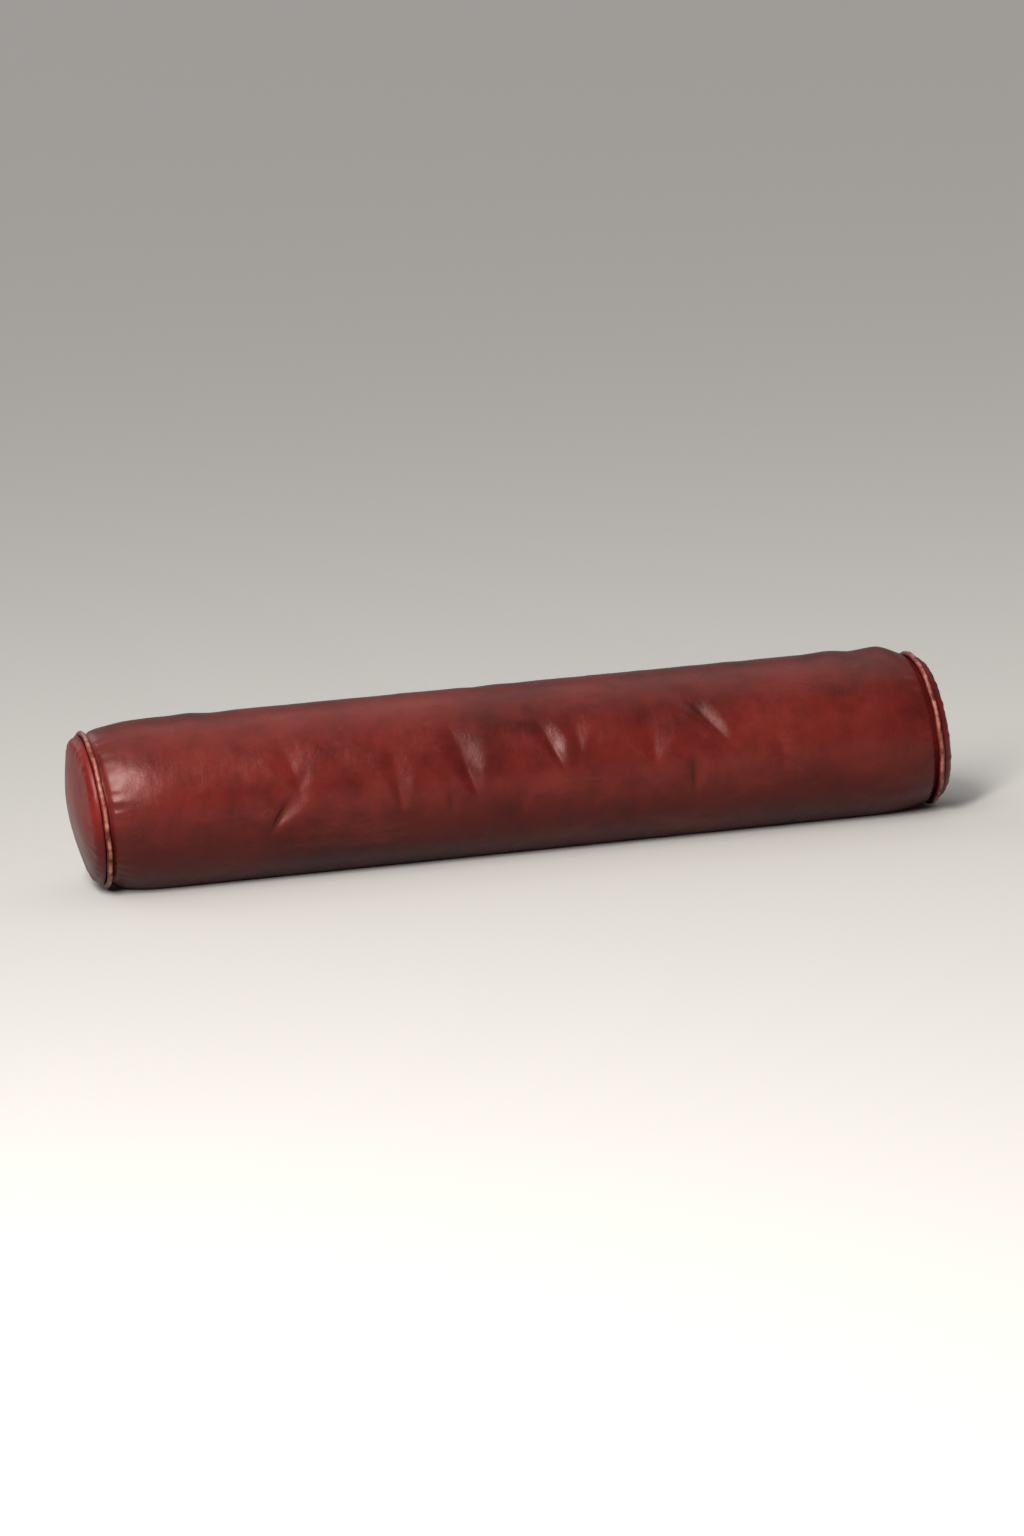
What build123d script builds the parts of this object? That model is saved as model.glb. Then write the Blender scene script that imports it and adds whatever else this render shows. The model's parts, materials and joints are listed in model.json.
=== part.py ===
from build123d import *
import math
import os

# A leather bolster pillow: a round barrel of leather, closed at each end by a domed cap and piping,
# with a zip along its back and a foam core inside. Sizes are in millimetres.
# +X runs along the bolster, +Y to its back, where the zip is, and +Z up. The origin is the middle of
# the flat that the bolster rests on.

# Outer form
cover_diameter = 150.0
seam_length = 750.0         # from the middle of one end seam to the middle of the other
rest_flat_width = 50.0      # the flat that the barrel settles on
shoulder_length = 55.0      # the barrel rounds in towards each end seam over this length
seam_inset = 10.0           # how far the end seams lie inside the barrel's radius
cap_dome = 20.0             # how far a cap bulges past the middle of its seam
cap_side = 8.0              # depth of a cap's side wall before its dome begins
cap_edge_radius = 7.0

# Leather, piping and thread
leather = 1.3
fold_radius = 2.5           # where leather turns in at an end seam
seam_allowance = 10.0
piping_leather = 0.9
piping_diameter = 5.0
layer_gap = 0.1             # between pieces sewn face to face
thread = 0.6
stitch_from_fold = 1.5      # from the end of the fold to the thread of an end seam
stitch_from_edge = 3.0      # from the zip mouth to its topstitching
closing_stitch = 3.4
closing_pitch = 4.0

# Filling
cover_clearance = 1.0       # between the leather and the cotton case
case_cloth = 0.5
fill_gap = 0.3              # between the layers of the filling
wadding = 11.0

# Zip
zip_angle = 30.0            # above the level of the bolster's axis, at the back
zip_end_margin = 16.0       # from the zip mouth's ends to the shoulders
mouth_width = 12.0
hem_width = 9.0             # leather turned under along the zip and the closing seam
closing_gap = 0.3           # between the two leather edges of the closing seam
tape_width = 14.5
tape_overrun = 12.0         # tape beyond each end of the mouth
tape_thickness = 0.6
tape_edge = 1.5             # from the chain's middle to each tape
tooth_pitch = 3.0
tooth_length = 1.3
tooth_outer = 3.2           # from the chain's middle to a tooth's outer end
tooth_overlap = 0.9         # how far a tooth reaches past the chain's middle
tooth_thickness = 2.4
tooth_slot_clearance = 0.1
stop_length = 4.0
stop_margin = 3.0           # from the mouth's ends to the stops

# Slider and pull tab
slider_length = 12.5
slider_width = 9.4
slider_plate = 1.2
slider_clearance = 0.15     # above and below the teeth
slider_side = 1.0           # thickness of the slider's side walls
slider_slot_clearance = 0.25
slider_stop_gap = 0.5
slider_corner = 2.0
wedge_length = 3.2
wedge_width = 2.4
channel_clearance = 0.5     # under the slider
bail_width = 2.6
bail_post = 1.0
bail_opening = 6.2
bail_bridge = 1.0
tab_thickness = 1.2
tab_width = 8.0
tab_length = 26.0           # from the pivot to the tab's far end
tab_eye_length = 7.0
tab_eye_clearance = 0.5     # between the bail and the tab's eye
tab_bar = 1.4
tab_clearance = 0.3         # between the tab and the leather
tab_hole = 3.2

# What follows from those sizes
cover_radius = cover_diameter / 2
seam_radius = cover_radius - seam_inset
seam_x = seam_length / 2
axis_height = math.sqrt(cover_radius ** 2 - (rest_flat_width / 2) ** 2)
half_stack = piping_leather + layer_gap         # from a seam's middle to the leather either side
barrel_end = seam_x - half_stack
shoulder_start = barrel_end - shoulder_length
shoulder_radius = (shoulder_length ** 2 + seam_inset ** 2) / (2 * seam_inset)
cap_start = seam_x + half_stack
cap_rise = cap_dome - half_stack - cap_side
cap_radius = (cap_rise ** 2 + seam_radius ** 2) / (2 * cap_rise)
flange_inner = seam_radius - seam_allowance
fold_run = shoulder_length - fold_radius
fold_height = cover_radius - shoulder_radius + math.sqrt((shoulder_radius - fold_radius) ** 2 - fold_run ** 2)
bead_reach = piping_diameter / 2 + fold_radius + layer_gap
bead_rise = math.sqrt(bead_reach ** 2 - (half_stack + fold_radius) ** 2)
bead_radius = fold_height + bead_rise

case_depth = leather + cover_clearance
wadding_depth = case_depth + case_cloth + fill_gap
core_depth = wadding_depth + wadding + fill_gap

mouth_half = shoulder_start - zip_end_margin
tape_top = cover_radius - 2 * leather - layer_gap
tape_middle = tape_top - tape_thickness / 2
tape_drop = tape_top - math.sqrt(tape_top ** 2 - tooth_outer ** 2)      # the tape's curve inside a tooth
passage = tooth_thickness / 2 + slider_clearance
slider_top = tape_middle + passage + slider_plate
slider_bottom = tape_middle - passage - slider_plate
channel_depth = cover_radius - slider_bottom + channel_clearance - case_depth
channel_half = tape_edge + tape_width + cover_clearance
stops_inner = mouth_half - stop_margin - stop_length
slider_x = stops_inner - slider_stop_gap - slider_length / 2
slider_travel = 2 * slider_x
pivot_radius = cover_radius + tab_clearance + tab_thickness / 2
eye_half = bail_width / 2 + tab_eye_clearance

reach = 2 * (seam_length + cover_diameter)      # larger than the whole bolster
smallest_rounding = 0.5
angle = math.radians(zip_angle)
along_axis = Pos(0, 0, axis_height)
# The zip's own frame: X along the chain, Y down across it, Z out from the bolster's axis
zip_frame = Plane((0, 0, axis_height), x_dir=(1, 0, 0), z_dir=(0, math.cos(angle), math.sin(angle)))


def above(level):
    """Everything higher than a level over the resting face."""
    return Pos(0, 0, level + reach / 2) * Box(reach, reach, reach)


def slab(low, high):
    """Everything between two places along the bolster."""
    return Pos((low + high) / 2, 0, 0) * Box(high - low, reach, reach)


def disc(radius, low, high):
    """A round slab on the bolster's axis, between two places along it."""
    turned = Rot(0, 90, 0) * Cylinder(radius, high - low)
    return along_axis * Pos((low + high) / 2, 0, 0) * turned


def rounded(face, corner, radius):
    """A flat face with one of its corners rounded, unless the corner would be nearly sharp."""
    if radius < smallest_rounding:
        return face
    return fillet(face.vertices().sort_by_distance(corner)[0], radius)


def shoulder_height(x, depth):
    """The barrel's radius at a place in its shoulder, moved in by depth."""
    run = abs(x) - shoulder_start
    return cover_radius - shoulder_radius + math.sqrt((shoulder_radius - depth) ** 2 - run ** 2)


def half_barrel_face(depth):
    """Half of the barrel's outline above its axis, moved in by depth on every side."""
    end = barrel_end - depth
    end_radius = shoulder_height(end, depth)
    outline = [
        Line((0, 0), (0, cover_radius - depth)),
        Line((0, cover_radius - depth), (shoulder_start, cover_radius - depth)),
        TangentArc((shoulder_start, cover_radius - depth), (end, end_radius), tangent=(1, 0)),
        Line((end, end_radius), (end, 0)),
        Line((end, 0), (0, 0)),
    ]
    return rounded(make_face(outline), (end, end_radius, 0), fold_radius - depth)


def barrel(depth):
    """The barrel's outer form, moved in by depth, and flat where it rests."""
    half = revolve(half_barrel_face(depth), Axis.X)
    whole = half + mirror(half, about=Plane.YZ)
    return (along_axis * whole) & above(depth)


def cap(depth):
    """The right cap's outer form, moved in by depth on every side."""
    inner = cap_start + depth
    side = seam_radius - depth
    dome = cap_radius - depth
    centre = seam_x + cap_dome - cap_radius
    edge = centre + math.sqrt(dome ** 2 - side ** 2)
    tip = centre + dome
    middle = math.asin(side / dome) / 2
    outline = [
        Line((inner, 0), (inner, side)),
        Line((inner, side), (edge, side)),
        ThreePointArc(
            (edge, side),
            (centre + dome * math.cos(middle), dome * math.sin(middle)),
            (tip, 0),
        ),
        Line((tip, 0), (inner, 0)),
    ]
    face = rounded(make_face(outline), (edge, side, 0), cap_edge_radius - depth)
    face = rounded(face, (inner, side, 0), fold_radius - depth)
    return along_axis * revolve(face, Axis.X)


def band(half_width, half_length):
    """A strip along the back, to both sides of the zip's line and out through the leather."""
    strip = Box(2 * half_length, 2 * half_width, cover_radius)
    return zip_frame * Pos(0, 0, cover_radius) * strip


def zip_shell(outer, inner, low_x, high_x, low_y, high_y):
    """A stretch of a tube round the bolster's axis, cut to a strip of the zip's frame."""
    tube = disc(outer, low_x, high_x) - disc(inner, low_x, high_x)
    size = (high_x - low_x, high_y - low_y, cover_radius)
    place = Pos((low_x + high_x) / 2, (low_y + high_y) / 2, cover_radius)
    return tube & (zip_frame * place * Box(*size))


def fill_layer(depth):
    """The filling's outer form at a depth, with the hollow that the zip and its hems need."""
    hollow = band(channel_half + depth - case_depth, seam_x) - barrel(depth + channel_depth)
    return barrel(depth) - hollow


def leather_body_panel():
    """One sheet wrapped round, its ends turned in at the seams and its edges hemmed at the back."""
    flange_hole = disc(flange_inner, -seam_x, seam_x)
    sheet = barrel(0) - barrel(leather) - flange_hole
    hem_end = barrel_end - case_depth - case_cloth - layer_gap
    hem = (barrel(leather) - barrel(2 * leather)) & band(mouth_width / 2 + hem_width, hem_end)
    mouth = band(mouth_width / 2, mouth_half)
    closing = band(closing_gap / 2, seam_x)
    return sheet + hem - mouth - closing


def end_cap():
    """A domed disc of leather with its edge turned in behind the seam."""
    flange_hole = disc(flange_inner, cap_start, cap_start + leather)
    return cap(0) - cap(leather) - flange_hole


def piping_face(bead_diameter):
    """The section of the piping's round bead."""
    return Pos(seam_x, bead_radius) * Circle(bead_diameter / 2)


def piping_cord():
    """The cord inside the piping."""
    cord_diameter = piping_diameter - 2 * (piping_leather + layer_gap)
    return along_axis * revolve(piping_face(cord_diameter), Axis.X)


def piping_cover():
    """The leather strip round the cord, with both its edges sewn into the seam."""
    flange_height = bead_radius - flange_inner
    flange = Pos(seam_x, flange_inner + flange_height / 2) * Rectangle(2 * piping_leather, flange_height)
    section = piping_face(piping_diameter) + flange - piping_face(piping_diameter - 2 * piping_leather)
    return along_axis * revolve(section, Axis.X)


def end_seam_thread():
    """The two threads of an end seam's lockstitch, on its cap side and on its barrel side."""
    offset = leather + layer_gap + thread / 2
    radius = seam_radius - fold_radius - stitch_from_fold
    ring = revolve(Pos(0, radius) * Circle(thread / 2), Axis.X)
    return [along_axis * Pos(x, 0, 0) * ring for x in (cap_start + offset, barrel_end - offset)]


def topstitching(side):
    """The thread along one edge of the zip mouth, lying on the leather."""
    from_middle = mouth_width / 2 + stitch_from_edge
    tilt = -side * math.degrees(math.asin(from_middle / cover_radius))
    bar = Box(2 * mouth_half, thread, thread)
    return zip_frame * Rot(tilt, 0, 0) * Pos(0, 0, cover_radius + layer_gap + thread / 2) * bar


def closing_stitches():
    """Stitches across the closing seam, inside the leather and past both ends of the zip tape."""
    start = mouth_half + tape_overrun + closing_pitch
    count = int((barrel_end - fold_radius - 2 * leather - start) / closing_pitch)
    stitch = Box(thread, closing_stitch, thread)
    pieces = []
    for i in range(count):
        x = start + i * closing_pitch
        surface = shoulder_height(max(x, shoulder_start), 2 * leather)
        radius = surface - layer_gap - thread
        for place in (-x, x):
            pieces.append(zip_frame * Pos(place, 0, radius) * stitch)
    return pieces


def zip_tape(side):
    """One woven tape, curved with the barrel under its hem."""
    end = mouth_half + tape_overrun
    low, high = sorted((side * tape_edge, side * (tape_edge + tape_width)))
    return zip_shell(tape_top, tape_top - tape_thickness, -end, end, low, high)


def clamped_block(length, low, high):
    """A block of the chain between two distances across it, slotted to hold the tape."""
    block = Pos(0, (low + high) / 2, 0) * Box(length, high - low, tooth_thickness)
    slot_height = tape_thickness + 2 * (tooth_slot_clearance + tape_drop)
    slot_start = tape_edge - tooth_slot_clearance
    slot = Pos(0, slot_start + high / 2, 0) * Box(length, high, slot_height)
    return block - slot


def chain_piece(piece, x, side):
    """Puts a piece made for the lower tape at its place in the chain."""
    if side < 0:
        piece = mirror(piece, about=Plane.XZ)
    return zip_frame * Pos(x, 0, tape_middle) * piece


def zip_teeth(side):
    """One row of metal teeth, half a pitch from the other row."""
    tooth = clamped_block(tooth_length, -tooth_overlap, tooth_outer)
    first = -stops_inner + tooth_pitch
    last = slider_x + slider_length / 2 - wedge_length - tooth_pitch
    count = int((last - first) / tooth_pitch)
    shift = tooth_pitch / 2 if side > 0 else 0
    return [chain_piece(tooth, first + shift + i * tooth_pitch, side) for i in range(count)]


def zip_top_stops():
    """The two stops in front of the closed slider, one on each tape."""
    stop = clamped_block(stop_length, tape_edge - 2 * tooth_slot_clearance, tooth_outer)
    return [chain_piece(stop, stops_inner + stop_length / 2, side) for side in (-1, 1)]


def zip_bottom_stop():
    """The one stop across both tapes, where the slider ends its travel."""
    half = clamped_block(stop_length, 0, tooth_outer)
    return zip_frame * Pos(-stops_inner - stop_length / 2, 0, tape_middle) * (
        half + mirror(half, about=Plane.XZ)
    )


def slider_plate_at(sign):
    """The slider's top or bottom plate with its two side walls, round the tape's middle."""
    plate = Box(slider_length, slider_width, slider_plate)
    plate = fillet(plate.edges().filter_by(Axis.Z), slider_corner)
    wall_height = passage - tape_thickness / 2 - slider_slot_clearance
    wall_length = slider_length - 2 * slider_corner
    wall_y = (slider_width - slider_side) / 2
    wall_z = -(slider_plate + wall_height) / 2
    wall = Box(wall_length, slider_side, wall_height)
    whole = plate + Pos(0, wall_y, wall_z) * wall + Pos(0, -wall_y, wall_z) * wall
    if sign < 0:
        whole = mirror(whole, about=Plane.XY)
    return Pos(0, 0, sign * (passage + slider_plate / 2)) * whole


def zip_slider():
    """Two plates joined by the wedge that parts the chain."""
    wedge_x = slider_length / 2 - wedge_length / 2 - slider_corner / 2
    wedge = Pos(wedge_x, 0, 0) * Box(wedge_length, wedge_width, 2 * passage)
    body = slider_plate_at(1) + slider_plate_at(-1) + wedge
    return zip_frame * Pos(slider_x, 0, tape_middle) * body


def zip_slider_bail():
    """The loop on the slider that the pull tab hangs in."""
    height = pivot_radius + tab_bar / 2 + layer_gap + bail_bridge - slider_top
    length = bail_opening + 2 * bail_post
    loop = Pos(0, 0, height / 2) * Box(length, bail_width, height)
    loop = fillet(loop.edges().filter_by(Axis.Y).group_by(Axis.Z)[-1], bail_bridge)
    opening_height = height - bail_bridge
    opening = Pos(0, 0, opening_height / 2) * Box(bail_opening, bail_width, opening_height)
    return zip_frame * Pos(slider_x, 0, slider_top) * (loop - opening)


def zip_pull_tab():
    """A flat tab with a round bar at its pivot, lying back along the closed chain."""
    arm = (tab_width - 2 * eye_half) / 2
    plate = Pos(-tab_length / 2, 0, 0) * Box(tab_length, tab_width, tab_thickness)
    far_edges = plate.edges().filter_by(Axis.Z).group_by(Axis.X)[0]
    plate = fillet(far_edges, tab_width / 2 - arm / 2)
    eye = Pos(-tab_eye_length / 2, 0, 0) * Box(tab_eye_length, 2 * eye_half, tab_thickness)
    hole = Pos(-tab_length + tab_width / 2, 0, 0) * Cylinder(tab_hole / 2, tab_thickness)
    bar = Rot(90, 0, 0) * Cylinder(tab_bar / 2, tab_width)
    tab = plate - eye - hole + bar
    return zip_frame * Pos(slider_x, 0, pivot_radius) * tab


def inner_case():
    """The cotton case: its barrel, and the two discs that close its ends."""
    shell = fill_layer(case_depth) - fill_layer(case_depth + case_cloth)
    outside = barrel_end - case_depth
    inside = outside - case_cloth
    tube = shell & slab(-inside, inside)
    end = disc(shoulder_height(outside, case_depth), inside, outside)
    return tube, end


def wadding_pieces():
    """The sheet of wadding round the core, and the disc of wadding at each end of it."""
    outer = fill_layer(wadding_depth)
    core = barrel(core_depth - fill_gap)
    core_end = barrel_end - core_depth + fill_gap
    wrap = (outer - core) & slab(-core_end, core_end)
    pad = outer & slab(core_end, barrel_end)
    return wrap, pad


def end_filler():
    """The pad that fills a cap's dome and reaches in through the seam's flanges."""
    plug_start = barrel_end - case_depth + fill_gap
    plug_end = cap_start + leather + 2 * cover_clearance
    plug = disc(flange_inner - cover_clearance, plug_start, plug_end)
    return cap(leather + cover_clearance) + plug


def as_one(shape):
    """A shape, or a list of separate pieces, as one shape to write out."""
    return Compound(children=list(shape)) if isinstance(shape, list) else shape


def both_ends(name, shape):
    """A right-hand piece and its mirror image, under their two names."""
    right = as_one(shape)
    return {name + "_right": right, name + "_left": mirror(right, about=Plane.YZ)}


def both_sides(name, make):
    """The upper and the lower piece of the zip."""
    return {name + "_upper": as_one(make(-1)), name + "_lower": as_one(make(1))}


def all_nodes():
    case_tube, case_end = inner_case()
    wrap, pad = wadding_pieces()
    return {
        "leather_body_panel": leather_body_panel(),
        **both_ends("end_cap", end_cap()),
        **both_ends("piping_cover", piping_cover()),
        **both_ends("piping_cord", piping_cord()),
        **both_ends("end_seam_thread", end_seam_thread()),
        **both_sides("zip_topstitch", topstitching),
        "closing_seam_thread": as_one(closing_stitches()),
        **both_sides("zip_tape", zip_tape),
        **both_sides("zip_teeth", zip_teeth),
        "zip_top_stops": as_one(zip_top_stops()),
        "zip_bottom_stop": zip_bottom_stop(),
        "zip_slider": zip_slider(),
        "zip_slider_bail": zip_slider_bail(),
        "zip_pull_tab": zip_pull_tab(),
        "inner_case_barrel": case_tube,
        **both_ends("inner_case_end", case_end),
        "wadding_wrap": wrap,
        **both_ends("wadding_disc", pad),
        **both_ends("end_filler", end_filler()),
        "foam_core": barrel(core_depth),
    }


os.makedirs("parts", exist_ok=True)
for name, shape in all_nodes().items():
    export_step(shape, f"parts/{name}.step")
print("slider travel", round(slider_travel, 3))
print("slider at", round(slider_x, 3), "pivot radius", round(pivot_radius, 3))
print("axis height", round(axis_height, 3))
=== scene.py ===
import json
import math

import bmesh
import bpy
import numpy as np
from mathutils import Matrix, Vector, noise


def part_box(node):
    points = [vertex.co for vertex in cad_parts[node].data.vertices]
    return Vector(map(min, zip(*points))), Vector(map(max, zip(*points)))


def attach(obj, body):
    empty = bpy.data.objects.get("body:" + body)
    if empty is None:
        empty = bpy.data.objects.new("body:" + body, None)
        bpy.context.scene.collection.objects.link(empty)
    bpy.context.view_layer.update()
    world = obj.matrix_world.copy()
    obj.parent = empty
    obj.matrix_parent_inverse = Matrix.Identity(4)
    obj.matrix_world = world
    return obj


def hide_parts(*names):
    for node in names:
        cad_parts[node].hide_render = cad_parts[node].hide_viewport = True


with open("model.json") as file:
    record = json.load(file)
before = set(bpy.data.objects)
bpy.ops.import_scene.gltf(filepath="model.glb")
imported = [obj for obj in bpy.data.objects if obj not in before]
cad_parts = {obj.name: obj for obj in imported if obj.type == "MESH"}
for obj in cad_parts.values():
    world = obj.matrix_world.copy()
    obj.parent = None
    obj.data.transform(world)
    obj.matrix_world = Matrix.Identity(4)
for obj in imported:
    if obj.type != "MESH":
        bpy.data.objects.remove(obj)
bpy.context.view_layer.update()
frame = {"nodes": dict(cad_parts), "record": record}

MM = 0.001

# Sizes read from the frame
panel_low, panel_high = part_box("leather_body_panel")
bead_low, bead_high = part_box("piping_cover_right")
cap_low, cap_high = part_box("end_cap_right")
stitch_low, stitch_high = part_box("zip_topstitch_upper")
core_low, core_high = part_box("foam_core")
BARREL_END = panel_high.x
RADIUS = (panel_high.y - panel_low.y) / 2
AXIS_Z = panel_high.z - RADIUS
SEAM_X = (bead_low.x + bead_high.x) / 2
BEAD = (bead_high.x - bead_low.x) / 2
BEAD_RING = (bead_high.z - bead_low.z) / 2 - BEAD
CAP_START = cap_low.x
CAP_TIP = cap_high.x
CAP_RADIUS = (cap_high.z - cap_low.z) / 2
MOUTH_HALF = stitch_high.x
CORE_DEPTH = BARREL_END - core_high.x

# Sizes of the leather and the layers under it, which the frame's boxes don't give
LEATHER = 1.3 * MM
FOLD = 2.5 * MM
SHOULDER = 56 * MM
FLANGE = 10 * MM
MOUTH_WIDTH = 12 * MM
HEM = 9 * MM
CASE_DEPTH = 2.3 * MM
CASE_CLOTH = 0.5 * MM
WADDING_DEPTH = 3.1 * MM
ZIP_HOLLOW_DEPTH = 6.1 * MM
ZIP_HOLLOW_HALF = 18 * MM
STITCH_LINE = MOUTH_WIDTH / 2 + 3 * MM

# Angles round the bolster are degrees from its top: 90 is its front, 180 its underside, 300 the zip
ZIP_ANGLE = 300.0
FLAT_HALF = 21.0

LEAN = 0.075    # how far an end seam moves to the left for each metre that it rises


# The cover's form

def turn(angle):
    """Unit directions out from the axis at angles from the top, as an array of (y, z)."""
    a = np.radians(angle)
    return np.stack([-np.sin(a), np.cos(a)], axis=-1)


def bump(distance, width):
    """A smooth hump, 1 at distance 0."""
    return np.exp(-(distance / width) ** 2)


def away(angle, centre):
    """Degrees from one angle round to another, between -180 and 180."""
    return (angle - centre + 180.0) % 360.0 - 180.0


def ramp(value, low, high):
    """0 below low, 1 above high and smooth between."""
    t = np.clip((value - low) / (high - low), 0.0, 1.0)
    return t * t * (3 - 2 * t)


# The creases: place along the bolster, place round it, length, width, depth, lean and bluntness, in mm
# and degrees. A crease runs round the barrel. One that leans has its lower end further to the right, and
# a blunt one has a left wall as broad as its right one.
CREASES = [
    (-222, 96, 20, 9.0, 5.2, -34, 1.0),
    (-208, 72, 15, 8.0, 2.6, 16, 2.0),
    (-118, 87, 22, 6.6, 4.3, 6, 1.5),
    (-72, 97, 15, 4.8, 1.9, 2, 1.2),
    (-56, 78, 26, 8.8, 5.2, 15, 1.6),
    (-9, 104, 12, 5.0, 1.5, 0, 1.4),
    (22, 70, 18, 6.6, 3.9, 22, 1.1),
    (44, 62, 16, 6.5, 1.6, 10, 1.8),
    (58, 106, 14, 8.0, 2.6, -10, 2.0),
    (88, 118, 12, 10.0, 2.4, 0, 2.2),
    (112, 74, 18, 9.5, 3.0, 4, 2.2),
    (148, 98, 18, 6.0, 3.7, 0, 1.0),
    (164, 60, 20, 8.0, 3.8, 36, 1.3),
    (227, 84, 17, 7.5, 2.3, 6, 2.0),
    (-140, 250, 26, 8.0, 1.8, 14, 1.4),
    (40, 236, 22, 7.0, 1.6, -18, 1.6),
    (170, 258, 20, 6.0, 1.5, 10, 1.2),
    (-250, 232, 18, 7.0, 1.4, -8, 1.6),
    (-30, 350, 26, 12.0, 0.8, 30, 2.0),
]

# Broad swellings and hollows: place along, place round, length along, width round, height, in mm
SWELLINGS = [
    (296, 0, 12, 30, 1.4),
    (318, 0, 9, 26, -1.0),
    (346, 4, 15, 34, 3.4),
    (-284, 350, 14, 26, 1.0),
    (-264, 350, 12, 26, -0.8),
    (-210, 100, 34, 26, -1.4),
    (-60, 80, 48, 28, -1.6),
    (150, 84, 60, 30, -1.2),
    (-150, 40, 46, 30, 0.8),
    (60, 24, 60, 26, 0.7),
    (250, 110, 40, 30, 0.7),
    (-320, 84, 26, 30, 0.8),
]


def crease(across, down, width, length, blunt):
    """A dent with a line along its bottom: a steep wall to its left and a broad one to its right."""
    reach = width * np.where(across < 0, 1.1 * blunt, 2.15)
    wall = np.clip(1 - np.sqrt(across ** 2 + (0.12 * width) ** 2) / reach, 0.0, 1.0) ** 1.5
    lip = 0.12 * bump(across - 2.3 * width, 1.1 * width) + 0.10 * bump(across + 1.6 * width, width)
    along = bump(down, length * np.where(down > 0, 0.8, 1.25))
    return (lip - wall) * along


def dents(x, angle):
    """How far the creases, swellings and hollows move the cover out, in metres."""
    total = np.zeros(np.broadcast(x, angle).shape)
    for along, round_at, length, width, depth, lean, blunt in CREASES:
        down = np.radians(away(angle, round_at)) * RADIUS
        across = x - along * MM - down * math.tan(math.radians(lean))
        # it is narrow at its lower end and opens out above
        opening = width * MM * (0.45 + 0.8 * ramp(-down, -1.1 * length * MM, 1.1 * length * MM))
        total += depth * MM * crease(across, down, opening, length * MM, blunt)
    for along, round_at, length, width, height in SWELLINGS:
        down = np.radians(away(angle, round_at)) * RADIUS
        total += height * MM * bump(x - along * MM, length * MM) * bump(down, width * MM)
    return total * free_of_zip(angle) * free_of_floor(angle)


def gathers(x, angle):
    """Short uneven pleats where the leather is drawn into the end seams."""
    inward = BARREL_END - FOLD - np.abs(x)
    a = np.radians(angle)
    wave = np.sin(41 * a + 2 * np.sin(3 * a) + np.sign(x)) * (0.6 + 0.4 * np.sin(7 * a + 2 * np.sign(x)))
    pleats = 0.5 * MM * wave * bump(inward - 4 * MM, 10 * MM) * ramp(inward, 0, 4 * MM)
    return pleats * free_of_zip(angle) * free_of_floor(angle)


def free_of_zip(angle):
    """0 where the zip and its hems hold the leather, and 1 clear of them."""
    return ramp(np.abs(away(angle, ZIP_ANGLE)), 13.0, 30.0)


def free_of_floor(angle):
    """0 where the bolster rests, and 1 clear of it."""
    return ramp(np.abs(away(angle, 180.0)), FLAT_HALF, FLAT_HALF + 16.0)


def shoulder_drop(x):
    """How far the barrel has rounded in at a place along it, with a groove where the seam pulls it."""
    run = np.clip((np.abs(x) - (BARREL_END - SHOULDER)) / SHOULDER, 0.0, 1.0)
    pulled = ramp(np.abs(x), BARREL_END - 7 * MM, BARREL_END - FOLD)
    return (RADIUS - CAP_RADIUS - 0.6 * MM) * run ** 2.2 + 1.7 * MM * pulled


def skewed(x, height):
    """The end seams lean a little: their tops lie to the left of their undersides."""
    lean = LEAN * ramp(np.abs(x), MOUTH_HALF + 8 * MM, BARREL_END)
    return x - lean * height


def at_radius(x, radius, angle):
    """Points at a radius from the axis, leaning at its ends; where the bolster rests they are flattened by
    the callers.
    """
    out = turn(angle)
    y = radius * out[..., 0]
    z = AXIS_Z + radius * out[..., 1]
    return np.stack([skewed(np.broadcast_to(x, y.shape), z - AXIS_Z), y, z], axis=-1)


# Cloth simulation of the cover

SIM_COLUMNS = 116
SIM_STEP = 4.6 * MM
SIM_FRAMES = 20
FULLNESS = 0.030        # how much more leather there is at an end seam than the seam takes up
MOST_MOVED = 4.5 * MM


def sim_grid():
    """The places along and round the cover that the simulation works on."""
    end = BARREL_END - FOLD
    along = np.linspace(-end, end, int(2 * end / SIM_STEP) + 1)
    around = np.arange(SIM_COLUMNS) * 360.0 / SIM_COLUMNS
    return along, around


def grid_faces(rows, columns, closed=False):
    """Quads of a tube of points whose columns run round it. A closed one joins its last row to its first."""
    faces = []
    for i in range(rows if closed else rows - 1):
        k = (i + 1) % rows
        for j in range(columns):
            m = (j + 1) % columns
            faces.append((i * columns + j, i * columns + m, k * columns + m, k * columns + j))
    return faces


def facing_out(points, faces):
    """The faces, turned over if the first of them faces the axis."""
    a, b, c = (Vector(points[n]) for n in faces[len(faces) // 2][:3])
    middle = (a + b + c) / 3
    if (b - a).cross(c - a).dot(middle - Vector((middle.x, 0, AXIS_Z))) < 0:
        return [tuple(reversed(f)) for f in faces]
    return faces


def small_waves(points):
    """A slight unevenness that lets full leather gather where it would in life."""
    waves = np.zeros(points.shape[:2])
    for i, row in enumerate(points):
        for j, p in enumerate(row):
            waves[i, j] = noise.noise(Vector(p) * 48.0) + 0.5 * noise.noise(Vector(p) * 110.0)
    return waves


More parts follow.
